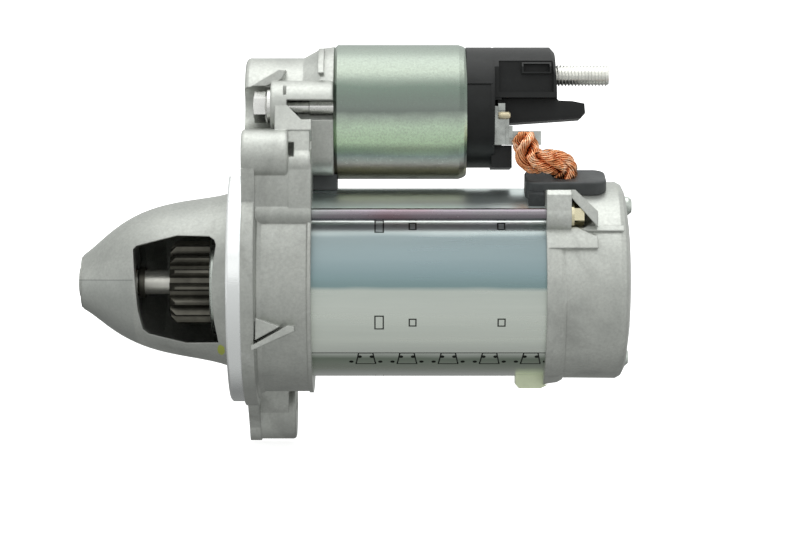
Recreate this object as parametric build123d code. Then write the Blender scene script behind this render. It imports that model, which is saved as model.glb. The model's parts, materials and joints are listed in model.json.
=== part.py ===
from build123d import *
import math
import os

os.makedirs("parts", exist_ok=True)

# Permanent-magnet starter motor with planetary reduction and a pinion-shift solenoid.
# Origin: centre of the flange's mounting face, on the pinion axis. +X runs along the shaft
# towards the rear cover, +Z up towards the solenoid, and the ring-gear window faces -Y.

# ---- driving dimensions, mm -------------------------------------------------------------
NOSE_TIP = -61.9          # front end of the nose
PILOT_R = 44.5            # locating register in the gearbox bell housing
PILOT_LEN = 5.2
BOLT_PCD = 111.0          # two flange bolts, 180 degrees apart
BOLT_HOLE_R = 5.25
EAR_ANGLE = 123.8         # upper ear, degrees from +Y towards +Z; the lower one is opposite
BARREL_R = 40.7           # gear case behind the flange
YOKE_R = 35.0
YOKE_WALL = 2.5
YOKE_X0, YOKE_X1 = 25.2, 110.2
TIE = (-30.0, 24.6)       # y, z of the near through bolt; the other is opposite
TIE_R = 2.3
COVER_END = 142.1
SCREW = (-8.0, 28.2)      # y, z of the end screw that holds the brush gear; the other is opposite
SOL_Z = 63.4              # solenoid axis above the shaft axis
SOL_R = 25.0
SOL_X0, SOL_X1 = 33.0, 81.8
CAP_Z = 65.0
STUD_Z = 77.0             # battery stud, M8
STUD_R = 4.0
PINION_TEETH = 16
PINION_X0, PINION_X1 = -27.6, -13.0
SHAFT_R = 4.5             # output shaft where it shows in the window
LUG = (-20.5, 64.0)       # y, z of the near solenoid bolt; the other is mirrored
MODULE = 1.2              # reduction gears
SUN_T, PLANET_T, RING_T = 11, 16, 43
CENTRE = MODULE * (SUN_T + PLANET_T) / 2
GEAR_X0, GEAR_X1 = 30.2, 38.2
PIVOT = (12.0, 37.0)      # x, z of the shift lever's pivot
GROOVE_X = 13.2           # middle of the lever groove on the clutch sleeve at rest
EYE_X = 11.0              # middle of the slot in the plunger hook at rest
COMM_R = 14.5
BRUSH_ANGLES = (45, 135, 225, 315)


# ---- helpers ----------------------------------------------------------------------------
def rod(r, x0, x1, y=0, z=0):
    """Cylinder along X."""
    return Pos((x0 + x1) / 2, y, z) * Rot(0, 90, 0) * Cylinder(r, x1 - x0)


def tube(r_out, r_in, x0, x1, y=0, z=0):
    """Hollow cylinder along X."""
    return rod(r_out, x0, x1, y, z) - rod(r_in, x0 - 1, x1 + 1, y, z)


def block(x0, x1, y0, y1, z0, z1):
    """Box between two corners."""
    return Pos((x0 + x1) / 2, (y0 + y1) / 2, (z0 + z1) / 2) * Box(x1 - x0, y1 - y0, z1 - z0)


def slab_y(points, y0, y1):
    """Outline in X-Z, filled between two Y values."""
    face = make_face(Polyline(*[(x, 0, z) for x, z in points], close=True))
    return Pos(0, y0, 0) * extrude(face, amount=y1 - y0, dir=(0, 1, 0))


def slab_x(points, x0, x1):
    """Outline in Y-Z, filled between two X values."""
    face = make_face(Polyline(*[(0, y, z) for y, z in points], close=True))
    return Pos(x0, 0, 0) * extrude(face, amount=x1 - x0, dir=(1, 0, 0))


def turned(points, y=0, z=0):
    """Outline in (x, radius), revolved about a line along X."""
    face = make_face(Polyline(*[(x, 0, r) for x, r in points], close=True))
    return Pos(0, y, z) * revolve(face, Axis.X, 360)


def around(shape, angle):
    """Turned about the shaft axis by an angle in degrees."""
    return Rot(angle, 0, 0) * shape


def web(p, q, r_p, r_q, x0, x1):
    """Flat plate whose straight sides join a circle at p to a circle at q, in Y-Z."""
    dy, dz = q[0] - p[0], q[1] - p[1]
    d = math.hypot(dy, dz)
    ny, nz = -dz / d, dy / d
    return slab_x([(p[0] + ny * r_p, p[1] + nz * r_p), (q[0] + ny * r_q, q[1] + nz * r_q),
                   (q[0] - ny * r_q, q[1] - nz * r_q), (p[0] - ny * r_p, p[1] - nz * r_p)],
                  x0, x1)


def polar(r, deg):
    """y, z of a point at a radius and an angle from +Y towards +Z."""
    return r * math.cos(math.radians(deg)), r * math.sin(math.radians(deg))


EAR = polar(BOLT_PCD / 2, EAR_ANGLE)


def boss(r, x0, x1, y, z, edge=1.2):
    """Cylinder along X with rounded rims."""
    e = edge
    return turned([(x0, 0), (x0, r - e), (x0 + 0.3 * e, r - 0.3 * e), (x0 + e, r), (x1 - e, r),
                   (x1 - 0.3 * e, r - 0.3 * e), (x1, r - e), (x1, 0)], y, z)


def gear_outline(teeth, module, r_tip, r_root, slack, alpha=25.0, steps=4):
    """Involute tooth outline as y, z points with a tooth centred on +Y. slack thins each flank."""
    rp = teeth * module / 2
    rb = rp * math.cos(math.radians(alpha))
    inv = math.tan(math.radians(alpha)) - math.radians(alpha)

    def half(r):
        a = math.acos(min(1.0, rb / max(r, rb)))
        return math.pi / (2 * teeth) - slack / rp + inv - (math.tan(a) - a)

    radii = [r_root] if r_root < rb else []
    r_low = max(rb, r_root)
    radii += [r_low + (r_tip - r_low) * i / steps for i in range(steps + 1)]
    pts = []
    for t in range(teeth):
        mid = 2 * math.pi * t / teeth
        flank = [(r, half(r)) for r in radii]
        pts += [(r * math.cos(mid - h), r * math.sin(mid - h)) for r, h in flank]
        pts += [(r * math.cos(mid + h), r * math.sin(mid + h)) for r, h in reversed(flank)]
    return pts


def gear(teeth, module, r_tip, r_root, slack, x0, x1, turn=0.0, y=0, z=0):
    """Spur gear blank without its bore."""
    return Pos(0, y, z) * around(slab_x(gear_outline(teeth, module, r_tip, r_root, slack), x0, x1), turn)


def hexagon(across, x0, x1, y, z):
    """Hexagon prism along X with a corner pointing up."""
    return Pos(0, y, z) * slab_x([polar(across / math.sqrt(3), 60 * i + 30) for i in range(6)], x0, x1)


def coil_spring(r_mean, r_wire, length, turns):
    """Round-wire compression spring along +Z from z = 0."""
    pitch = (length - 2 * r_wire) / turns
    path = Helix(pitch=pitch, height=pitch * turns, radius=r_mean)
    section = Plane(origin=path @ 0, z_dir=path % 0) * Circle(r_wire)
    return Pos(0, 0, r_wire) * sweep(section, path=path)


def save(shape, name):
    """Writes one node; every separate solid in it keeps its own body."""
    solids = [s for s in shape.solids()]
    whole = solids[0] if len(solids) == 1 else Compound(children=solids)
    whole.label = name
    export_step(whole, f"parts/{name}.step")


def group(shapes):
    """Several separate solids kept in one node."""
    return Compound(children=[s for shape in shapes for s in shape.solids()])


# ---- cast aluminium drive housing ---------------------------------------------------------
def drive_housing():
    # nose: sections that grow from the bush boss at the tip to the register
    sections = [(-60.4, 10.2, 0.1), (-54.0, 15.1, 0.5), (-46.5, 20.7, 0.9), (-37.0, 25.4, 1.2),
                (-24.8, 28.6, 1.3), (-4.0, 33.0, 0.8)]
    nose = loft([Plane(origin=(x, 0, zc), x_dir=(0, 1, 0), z_dir=(1, 0, 0)) * Circle(r)
                 for x, r, zc in sections])
    body = nose + rod(5.2, NOSE_TIP, -59.5) + rod(9.6, -61.0, -60.0)
    # register and flange
    register = turned([(-PILOT_LEN, 0), (-PILOT_LEN, PILOT_R - 0.8), (-PILOT_LEN + 0.8, PILOT_R),
                       (0, PILOT_R), (0, 0)])
    body += register - block(-8, 1, -60, 60, 38.8, 60)
    body += boss(46.0, 0, 5.0, 0, 0, 0.6) - block(-1, 6, -60, 60, 41.0, 60)
    # upper ear, a thick boss on its web
    body += boss(9.3, 0, 17.0, *EAR) + web((0, 0), EAR, 30, 9.3, 0, 5.0)
    # lower ear, a longer tab with a stepped outline
    low, tab = (-EAR[0], -EAR[1]), (32.7, -48.9)
    body += rod(12.2, 0, 4.2, *tab) + web((0, 0), tab, 34, 12.2, 0, 4.2)
    body += boss(11.6, 3.0, 17.7, *tab) + web(low, tab, 11.0, 11.6, 3.0, 16.5)
    body += web((17, -30), low, 9.0, 10.0, 3.0, 15.0)
    # gear case with a narrow rim at the yoke
    body += turned([(3.0, 0), (3.0, 43.2), (5.2, 43.2), (5.8, 41.6), (7.4, BARREL_R),
                    (23.6, BARREL_R), (23.9, BARREL_R + 0.5), (YOKE_X0, BARREL_R + 0.5), (YOKE_X0, 0)])
    # bosses for the through bolts, blended into the ears
    for side in (1, -1):
        tie = (TIE[0] * side, TIE[1] * side)
        body += rod(5.9, 3.0, YOKE_X0, *tie) + web((0, 0), tie, 12, 5.9, 3.0, YOKE_X0)
        body += web(tie, (EAR[0] * side, EAR[1] * side), 5.0, 6.0, 3.0, 17.2)
    # diagonal rib on the window side
    body += slab_y([(4.0, -24.4), (4.0, -22.6), (16.6, -15.6), (19.4, -15.6), (19.4, -17.4)], -41.6, -30)
    body += slab_y([(5.4, -20.6), (14.2, -15.8), (5.4, -12.6)], -41.1, -30)
    # solenoid seat: round front, flared rear ring, neck down to the gear case
    body += turned([(0.3, 0), (0.3, 18.6), (0.8, 19.6), (1.8, 20.1), (21.6, 20.1), (28.0, 23.6),
                    (33.0, 24.3), (33.0, 0)], 0, SOL_Z)
    body += block(0.3, 25.2, -17.0, 17.0, 30.0, SOL_Z)
    # shoulders from the through bolts up to the solenoid bolts
    for side in (1, -1):
        lug = (LUG[0] * side, LUG[1])
        shoulder = (31.0 * -side, 43.0)
        body += web((TIE[0] * side, 24.0), shoulder, 5.4, 5.2, 17.0, YOKE_X0)
        body += boss(5.6, 16.0, YOKE_X0, *shoulder, 1.0)
        body += web((-28.8 * side, 52.0), lug, 5.4, 9.6, 12.0, YOKE_X0)
        body += web((-28.8 * side, 54.0), shoulder, 4.2, 4.2, 15.5, YOKE_X0 - 0.6)
        body += web(lug, (-14.5 * side, 49.0), 9.6, 9.7, 24.0, 33.0)
        body += boss(9.7, 24.0, 33.0, -14.5 * side, 49.0, 0.6)
        body += web((0, 34), (-28.8 * side, 50.0), 12.0, 4.6, 16.0, YOKE_X0)
        body += boss(9.7, 10.2, 33.0, *lug, 0.8)
        # slot along the bolt, its lower edge sloping up at the front
        body -= slab_y([(16.2, 66.2), (33.5, 66.2), (33.5, 58.9), (21.6, 58.9), (16.2, 64.4)],
                       *((-40, -14.0) if side == 1 else (14.0, 40)))
        # notch behind the lug's face
        body -= block(15.0, 16.0, *((-34, -26.5) if side == 1 else (26.5, 34)), 68.0, 75.0)
    # reinforcing ridge running up from the front face, and ribs on the flare
    body += slab_y([(1.6, 71.0), (3.0, 69.4), (14.0, 74.4), (15.6, 77.6), (13.0, 77.8)], -19.5, -6)
    flare = tube(25.0, 20.0, 27.2, 29.4, 0, SOL_Z)
    body += flare & block(27, 30, -26, 0, 76.5, 86.4)
    # inside: nose cavity, gear case, yoke seat, lever and plunger chamber
    cavity = turned([(-41.0, 0), (-41.0, 16.0), (-39.0, 18.2), (-31.5, 22.4), (-20.3, 25.0),
                     (-9.0, 27.2), (3.0, 28.6), (5.0, 31.5), (20.0, 31.5), (20.0, 34.0),
                     (26.0, 34.0), (26.0, 0)])
    body -= cavity
    body -= block(3.6, 21.5, -10.5, 10.5, 20.0, 58.0)
    body -= rod(13.0, 3.6, 34.0, 0, SOL_Z)
    body -= block(3.6, 34.0, -10.5, 10.5, 52.0, SOL_Z)
    body += tube(8.0, 5.0, -42.0, -40.8)
    body -= rod(6.5, -57.5, -40.0)
    # ring-gear window in the near wall of the nose
    window = [(-40.2, 12.0), (-38.9, 13.3), (-24.0, 17.0), (-12.0, 16.7), (-10.1, 15.4),
              (-9.5, 13.6), (-10.4, 7.0), (-10.9, 0.0), (-10.8, -6.0), (-10.2, -14.0),
              (-9.0, -22.0), (-21.0, -22.2), (-34.8, -18.9), (-36.9, -17.2), (-38.4, -10.0)]
    body -= slab_y(window, -60, -4.0)
    # flange bolt holes, through-bolt holes, solenoid bolt holes and head pockets
    for side in (1, -1):
        body -= rod(BOLT_HOLE_R, -2, 19, EAR[0] * side, EAR[1] * side)
        body -= rod(TIE_R + 0.25, 7.0, 26.0, TIE[0] * side, TIE[1] * side)
        body -= rod(3.15, 9.0, 34.0, LUG[0] * side, LUG[1])
        body -= rod(8.0, -1.0, 10.2, (LUG[0] - 0.6) * side, LUG[1])
    # pivot seat of the shift lever, closed from above by the rubber seal
    body -= Pos(PIVOT[0], 0, PIVOT[1]) * Rot(90, 0, 0) * Cylinder(2.6, 33.0)
    body -= block(21.0, 26.0, -8.5, 8.5, 30.0, 41.0)
    return body


def nose_bush():
    return tube(6.5, SHAFT_R + 0.03, -57.5, -42.0) + tube(5.0, SHAFT_R + 0.03, -42.1, -40.8)


# ---- carrier bearing between the gear case and the yoke -----------------------------------
def bearing_bracket():
    plate = turned([(18.7, 10.0), (18.7, 13.0), (22.0, 14.5), (22.8, 33.9), (YOKE_X0, 33.9),
                    (YOKE_X0, YOKE_R - YOKE_WALL - 0.1), (28.0, YOKE_R - YOKE_WALL - 0.1),
                    (28.0, 30.0), (YOKE_X0 + 0.6, 29.0), (YOKE_X0 + 0.6, 12.5), (26.2, 12.5),
                    (26.2, 10.0)])
    return plate


def carrier_bush():
    return tube(10.0, 8.03, 18.7, 26.2)


# ---- reduction gears ----------------------------------------------------------------------
ADD, DED = 0.9 * MODULE, 1.15 * MODULE
R_SUN, R_PLANET, R_RING = (MODULE * t / 2 for t in (SUN_T, PLANET_T, RING_T))


def ring_gear():
    wall = turned([(28.2, 28.4), (28.2, 32.3), (38.6, 32.3), (38.6, 28.4)])
    wall += tube(30.0, 20.0, 29.8, 38.6)
    return wall - gear(RING_T, MODULE, R_RING + DED, R_RING - ADD, -0.05, 25.0, 40.0)


def planet_angle(i):
    return 120.0 * i + 90.0


def planet_gear(i):
    at = planet_angle(i)
    y, z = polar(CENTRE, at)
    turn = at - at * RING_T / PLANET_T
    return (gear(PLANET_T, MODULE, R_PLANET + ADD, R_PLANET - DED, 0.05, GEAR_X0, GEAR_X1, turn, y, z)
            - rod(3.53, GEAR_X0 - 1, GEAR_X1 + 1, y, z))


def planet_pins():
    return group([rod(3.5, 26.6, 38.4, *polar(CENTRE, planet_angle(i))) for i in range(3)])


def output_shaft():
    # nose journal, plain length for the pinion, splines for the clutch, then the carrier disc
    shaft = rod(SHAFT_R, -57.0, -3.9) + rod(6.3, -3.9, 18.4) + rod(8.0, 18.4, 26.4)
    shaft += rod(23.4, 26.4, 29.4) - tube(30, 13.5, 28.9, 30)
    for i in range(8):
        shaft += around(block(-3.9, 18.4, 5.5, 7.3, -1.15, 1.15), 45 * i)
    shaft -= rod(4.53, 17.0, 31.0)
    for i in range(3):
        shaft -= rod(3.5, 25.0, 30.0, *polar(CENTRE, planet_angle(i)))
        shaft -= rod(4.0, 25.0, 30.0, *polar(CENTRE + 1.0, planet_angle(i) + 60))
    return shaft - tube(5.0, 4.15, -39.4, -38.2)


def stop_collar():
    # collar with the wire ring it is staked over
    collar = turned([(-40.0, 4.55), (-40.0, 5.2), (-39.4, 5.8), (-37.5, 5.8), (-37.5, 4.55)])
    ring = tube(4.5, 4.15, -39.4, -38.2) - block(-40, -37, 0, 6, -0.8, 0.8)
    return group([collar, ring])


# ---- armature -----------------------------------------------------------------------------
BEAR_F = (7.9, 15.0, 38.9, 46.9)     # front bearing: shaft r, outer r, x0, x1
BEAR_R = (4.0, 11.0, 128.6, 135.6)   # rear bearing


def bearing_ring(size, outer):
    """Inner or outer ring of a ball bearing, with its groove."""
    r_in, r_out, x0, x1 = size
    mid, ball = (r_in + r_out) / 2, (r_out - r_in) * 0.27
    gap = (r_out - r_in) * 0.2
    ring = tube(r_out, mid + gap, x0, x1) if outer else tube(mid - gap, r_in, x0, x1)
    groove = Pos((x0 + x1) / 2, 0, 0) * Rot(0, 90, 0) * Torus(mid, ball + 0.08)
    return ring - groove


def bearing_balls():
    balls = []
    for r_in, r_out, x0, x1 in (BEAR_F, BEAR_R):
        for i in range(8):
            y, z = polar((r_in + r_out) / 2, 45 * i)
            balls.append(Pos((x0 + x1) / 2, y, z) * Sphere((r_out - r_in) * 0.27))
    return group(balls)


def armature_shaft():
    turn = 90 * (SUN_T + RING_T) / SUN_T + 180 / SUN_T
    sun = gear(SUN_T, MODULE, R_SUN + ADD, R_SUN - DED, 0.05, 30.0, 38.4, turn)
    shaft = turned([(19.5, 0), (19.5, 3.9), (20.1, 4.5), (30.0, 4.5), (30.0, 5.0), (38.4, 5.0),
                    (38.4, 7.9), (48.0, 7.9), (48.0, 6.5), (104.0, 6.5), (104.0, 5.2),
                    (128.4, 5.2), (128.4, 4.0), (136.2, 4.0), (136.8, 3.4), (136.8, 0)])
    return shaft + sun


CORE_X0, CORE_X1, CORE_R, SLOTS = 53.0, 91.0, 26.0, 18


def armature_core():
    core = tube(CORE_R, 6.5, CORE_X0, CORE_X1)
    for i in range(SLOTS):
        a = 360 / SLOTS * i
        core -= around(block(CORE_X0 - 1, CORE_X1 + 1, 14.0, 24.2, -2.0, 2.0)
                       + block(CORE_X0 - 1, CORE_X1 + 1, 24.0, 27.0, -0.8, 0.8), a)
    return core


def armature_winding():
    heads = turned([(48.6, 11.0), (48.6, 21.0), (50.6, 24.0), (CORE_X0, 24.0), (CORE_X0, 11.0)])
    heads += turned([(CORE_X1, 8.0), (CORE_X1, 24.0), (98.0, 22.0), (103.5, 16.4), (103.5, 8.0)])
    for i in range(SLOTS):
        heads += around(block(CORE_X0 - 0.5, CORE_X1 + 0.5, 14.3, 23.8, -1.8, 1.8), 360 / SLOTS * i)
    return heads


def commutator():
    body = turned([(104.5, 5.2), (104.5, 16.2), (106.0, 16.2), (106.0, COMM_R), (122.0, COMM_R),
                   (122.0, 13.4), (123.5, 9.0), (123.5, 5.2)])
    for i in range(22):
        body -= around(block(104.0, 122.5, 13.4, 17.0, -0.25, 0.25), 360 / 22 * i + 4)
    return body


# ---- yoke, magnets, centre plate ------------------------------------------------------------
def yoke():
    shell = tube(YOKE_R, YOKE_R - YOKE_WALL, YOKE_X0, YOKE_X1)
    # half-pierced rectangles that hold the magnets, one row for each pole
    frames = ((48.0, 51.5, 2.8), (60.4, 63.3, 1.6), (92.5, 95.5, 1.65))
    cuts = []
    for pole in range(6):
        for x0, x1, half in frames:
            outer = block(x0, x1, YOKE_R - 0.45, YOKE_R + 1, -half, half)
            inner = block(x0 + 0.5, x1 - 0.5, YOKE_R - 1, YOKE_R + 2, -half + 0.5, half - 0.5)
            cuts.append(around(outer - inner, 144.5 + 60 * pole))
    # rolled seam: an edge line with dovetails hanging from it, and stakes in and between them
    seam = 180 + 47.2
    cuts.append(around(block(YOKE_X0 - 1, YOKE_X1 + 1, YOKE_R - 0.5, YOKE_R + 1, -0.2, 0.2), seam))
    key = make_face(Polyline((-2.6, 0.1, 0), (-3.6, 6.8, 0), (3.6, 6.8, 0), (2.6, 0.1, 0), close=True))
    ring = extrude(offset(key, 0.25), 3) - extrude(offset(key, -0.25), 3)
    for k in range(5):
        x = 44.8 + 15.05 * k
        placed = Plane(origin=(x, YOKE_R - 1.3, 0), x_dir=(-1, 0, 0), z_dir=(0, 1, 0)) * ring
        cuts.append(around(placed, seam))
        for u, deg in ((x - 2.2, 3.6), (x + 2.2, 3.6), (x - 5.3, 8.8), (x + 5.3, 8.8)):
            stake = Pos(u, YOKE_R, 0) * Rot(90, 0, 0) * Cylinder(0.8, 0.9)
            cuts.append(around(stake, seam + deg))
    for cut in cuts:
        shell -= cut
    return shell


def field_magnets():
    arcs = tube(YOKE_R - YOKE_WALL, 26.7, 52.0, 92.0)
    magnets = []
    for pole in range(6):
        wedge = slab_x([(0, 0), polar(60, -25.5), polar(60, 25.5)], 50, 94)
        magnets.append(arcs & around(wedge, 144.5 + 60 * pole))
    return group(magnets)


def centre_plate():
    return turned([(38.6, 16.0), (38.6, 32.3), (41.0, 32.3), (41.0, 18.6), (47.2, 17.4),
                   (47.2, 15.0), (38.9, 15.0), (38.9, 12.0), (38.6, 12.0)])


# ---- rear cover -------------------------------------------------------------------------------
def rear_cover():
    # bell a little above the shaft axis, with a flared rim that is centred on it
    body = turned([(112.0, 0), (112.0, 36.4), (137.2, 36.6), (139.0, 35.6), (140.1, 33.4),
                   (141.4, 25.0), (COVER_END, 12.0), (COVER_END, 0)], 0, 0.8)
    body += turned([(110.2, 0), (110.2, 38.4), (112.0, 37.9), (115.6, 37.4), (117.4, 36.4),
                    (117.4, 0)])
    for side in (1, -1):
        at = 0 if side == 1 else 180
        y, z = TIE
        # block around the bolt, ramps on both sides of its head, and the pocket between them
        ears = rod(6.4, 110.2, 119.1, y, z) + slab_x([(-36.3, z), (-36.3, 31.6), (-34.6, 33.4),
                                                      (-19.0, 33.4), (-19.0, z)], 110.2, 119.1)
        ears += slab_y([(119.0, 33.4), (120.4, 33.4), (128.6, 25.6), (128.6, 20.0), (119.0, 30.6)],
                       -35.6, -22.0)
        low_ramp = rod(38.3, 110.2, 128.6) & slab_y([(110.2, 12.4), (110.2, 22.0), (119.1, 21.0),
                                                     (128.6, 16.6), (128.6, 12.4)], -45, -20)
        ridge = rod(37.6, 119.0, 138.4, 0, 0.4) & block(119.0, 138.4, -45, -20, 18.6, 20.6)
        body += around(ears + low_ramp + ridge, at)
        pocket = turned([(119.1, 0), (119.1, 5.3), (123.8, 5.3), (126.6, 3.0), (126.6, 0)], y, z)
        body -= around(pocket, at)
        y, z = SCREW[0] * side, SCREW[1] * side
        body -= rod(4.4, 140.4, 144.0, y, z)
    # inside: brush chamber and bearing pocket
    chamber = turned([(109.0, 0), (109.0, 32.5), (134.0, 32.5), (137.4, 29.0), (137.9, 14.2),
                      (128.4, 14.2), (128.4, 11.0), (135.8, 11.0), (135.8, 6.0), (137.6, 6.0),
                      (137.6, 0)])
    body -= chamber
    for side in (1, -1):
        body -= rod(TIE_R + 0.25, 109.0, 120.0, TIE[0] * side, TIE[1] * side)
        body -= rod(2.0, 130.0, 143.0, SCREW[0] * side, SCREW[1] * side)
    # notch for the lead grommet, on the crown
    body -= around(block(109.0, 123.4, 26.0, 40.0, -5.0, 5.0), GROMMET_AT)
    return body


def through_bolts():
    bolts = []
    for side in (1, -1):
        y, z = TIE[0] * side, TIE[1] * side
        bolts.append(rod(TIE_R, 8.0, 120.2, y, z)
                     + hexagon(7.6, 120.0, 123.8, y, z) + rod(4.9, 119.1, 120.2, y, z))
    return group(bolts)


def rear_cover_screws():
    screws = []
    for side in (1, -1):
        y, z = SCREW[0] * side, SCREW[1] * side
        head = turned([(140.4, 0), (140.4, 3.5), (141.6, 3.5), (142.9, 2.4), (142.9, 0)], y, z)
        slot = block(142.0, 144, y - 0.45, y + 0.45, z - 1.6, z + 1.6)
        slot += block(142.0, 144, y - 1.6, y + 1.6, z - 0.45, z + 0.45)
        screws.append(rod(1.75, 127.0, 140.5, y, z) + head - slot)
    return group(screws)


# ---- brush gear ---------------------------------------------------------------------------------
def brush_holder():
    plate = tube(32.2, 17.2, 107.2, 109.0)
    for a in BRUSH_ANGLES:
        box = block(109.0, 121.0, 15.8, 30.2, -5.2, 5.2)
        box -= block(109.6, 120.4, 15.0, 29.2, -4.1, 4.1)
        plate += around(box, a)
    # posts that take the end screws
    for side in (1, -1):
        y, z = SCREW[0] * side, SCREW[1] * side
        post = rod(4.2, 108.5, 133.6, y, z) & rod(32.2, 108, 134)
        plate += post - rod(1.75, 126.9, 138.0, y, z)
    # bus bar that the lead is welded to
    plate += around(block(107.2, 109.0, 22.0, 31.0, -5.0, 5.0), GROMMET_AT)
    return plate


def brush(angle):
    carbon = block(109.9, 120.1, 10.0, 23.6, -3.95, 3.95) - rod(COMM_R + 0.05, 100, 130)
    return around(carbon, angle)


def brush_spring(angle):
    spring = coil_spring(2.8, 0.45, 5.4, 4)
    return around(Pos(115.0, 23.7, 0) * Rot(-90, 0, 0) * spring, angle)


# ---- lead, grommet, drain -----------------------------------------------------------------------
GROMMET_AT = 108.4        # degrees from +Y towards +Z: the grommet leans to the window side
LEAD_X, LEAD_R = 117.6, 4.4


def lead_grommet():
    # pad with rounded ends, a foot on the window side, and a plug in the cover's notch
    pad = extrude(Plane(origin=(118.1, 30.0, 0), x_dir=(1, 0, 0), z_dir=(0, 1, 0))
                  * RectangleRounded(29.8, 16.8, 4.6), 11.3)
    pad = fillet(pad.faces().sort_by(Axis.Y)[-1].edges(), 0.9)
    pad += block(104.2, 110.2, 30.0, 37.6, 7.0, 11.4)
    pad = around(pad, GROMMET_AT) - rod(YOKE_R, 90, 110.2)
    pad -= rod(38.4, 110.2, 117.4) + rod(36.8, 110.2, 140, 0, 0.8)
    plug = around(block(110.2, 123.3, 31.0, 38.8, -4.9, 4.9), GROMMET_AT) - rod(32.5, 100, 140)
    way_in = around(Pos(LEAD_X, 38.0, 0) * Rot(90, 0, 0) * Cylinder(LEAD_R, 16.0), GROMMET_AT)
    corner = rod(6.5, 100, 119.2, *TIE) + block(110.1, 119.2, -37, -18, 20, 33.5)
    return pad + plug - way_in - corner


def drain_boot():
    body = slab_y([(100.2, -33.0), (100.2, -38.0), (101.4, -39.4), (109.4, -39.4), (113.0, -37.6),
                   (113.4, -33.0)], -6.5, 5.5)
    body -= rod(YOKE_R, 90, 110.2)
    body -= rod(38.5, 110.2, 120)
    outlet = block(103.0, 108.5, -3.5, 2.5, -40.0, -38.0)
    return body - outlet


# ---- shift lever --------------------------------------------------------------------------------
def lever_pivot():
    return Pos(PIVOT[0], 0, PIVOT[1]) * Rot(90, 0, 0) * Cylinder(2.5, 32.8)


def drive_lever():
    # fork with two fingers in the clutch groove, boss on the pivot, tongue up into the plunger
    px, pz = PIVOT
    boss = Pos(px, 0, pz) * Rot(90, 0, 0) * Cylinder(5.0, 8.0)
    tongue = slab_y([(px - 2.6, pz), (EYE_X - 1.9, SOL_Z - 1), (EYE_X + 1.9, SOL_Z - 1),
                     (px + 2.6, pz)], -2.2, 2.2)
    tongue += Pos(EYE_X, 0, SOL_Z) * Rot(90, 0, 0) * Cylinder(2.45, 4.4)
    yokeplate = slab_y([(px - 3.2, pz), (px - 2.2, 20.5), (px + 2.6, 20.5), (px + 3.2, pz)], -6, 6)
    fork = slab_x([(-6, 24), (-18.2, 15), (-18.2, -3), (-15.1, -3), (-15.1, 10), (-9, 16.2), (9, 16.2),
                   (15.1, 10), (15.1, -3), (18.2, -3), (18.2, 15), (6, 24)],
                  GROOVE_X - 1.7, GROOVE_X + 1.7)
    lever = boss + tongue + yokeplate + fork
    for s in (1, -1):
        lever += Pos(GROOVE_X, s * 13.1, 0) * Rot(90, 0, 0) * Cylinder(2.35, 4.8)
    return lever - Pos(px, 0, pz) * Rot(90, 0, 0) * Cylinder(2.55, 30)


def lever_seal():
    seal = block(21.6, 34.0, -8.4, 8.4, 34.2, 40.2) - rod(YOKE_R, 25.2, 40)
    seal -= rod(34.0, 20.0, 25.2) + rod(24.3, 21.0, 33.0, 0, SOL_Z)
    return seal - rod(SOL_R + 0.01, 33.0, 40, 0, SOL_Z)


# ---- clutch and pinion ------------------------------------------------------------------------
def clutch_outer():
    body = turned([(-11.7, 13.2), (-11.7, 18.6), (-10.9, 19.2), (1.6, 19.2), (2.6, 18.2),
                   (2.6, 10.2), (9.2, 10.2), (9.2, 14.6), (10.6, 14.6), (10.6, 10.2),
                   (15.8, 10.2), (15.8, 14.6), (17.2, 14.6), (17.2, 7.45), (-4.4, 7.45),
                   (-4.4, 13.2)])
    # grooves between the splines leave lands that run between those of the shaft
    for i in range(8):
        body += around(block(-4.4, 17.2, 6.45, 8.2, -1.15, 1.15), 45 * i + 22.5)
    for i in range(5):
        for turn, r in ((0, 2.75), (10, 3.15), (20, 2.9)):
            body -= rod(r, -11.8, -6.0, *polar(12.75, 72 * i + turn))
    return body


def clutch_rollers():
    return group([rod(2.5, -11.5, -6.2, *polar(12.65, 72 * i)) for i in range(5)])


def clutch_cover():
    return turned([(-12.5, 10.4), (-12.5, 19.4), (-12.0, 19.8), (1.0, 19.8), (1.0, 19.25),
                   (-11.75, 19.25), (-11.75, 10.4)])


PINION_MODULE = 1.75


def pinion():
    r_tip, r_root = 15.5, 11.9
    body = gear(PINION_TEETH, PINION_MODULE, r_tip, r_root, 0.1, PINION_X0, PINION_X1, 8.0)
    # lead-in chamfer on the front ends of the teeth
    body &= turned([(PINION_X0, 0), (PINION_X0, 13.6), (PINION_X0 + 2.2, 15.6), (PINION_X1, 15.6),
                    (PINION_X1, 0)])
    body += rod(9.9, PINION_X1, -4.7) + rod(12.4, -5.9, -4.7)
    return body - rod(SHAFT_R + 0.05, -30, 0)


# ---- solenoid ---------------------------------------------------------------------------------
def solenoid_case():
    shell = turned([(SOL_X0, 9.2), (SOL_X0, SOL_R - 1.2), (SOL_X0 + 1.2, SOL_R), (79.0, SOL_R),
                    (80.8, 24.4), (SOL_X1, 23.6), (SOL_X1, 22.7), (78.0, 22.7), (77.2, 23.0),
                    (36.6, 23.0), (36.6, 9.2)], 0, SOL_Z)
    for side in (1, -1):
        shell -= rod(3.05, 30, 36.6, LUG[0] * side, LUG[1])
    return shell


def plunger_sleeve():
    return tube(9.2, 8.54, SOL_X0, 73.2, 0, SOL_Z)


def solenoid_bobbin():
    bobbin = tube(10.6, 9.2, 37.0, 73.0, 0, SOL_Z) + tube(22.4, 9.2, 37.0, 38.4, 0, SOL_Z)
    return bobbin + tube(22.4, 9.2, 71.6, 73.0, 0, SOL_Z)


def solenoid_coil():
    return tube(21.4, 10.6, 38.4, 71.6, 0, SOL_Z)


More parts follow.
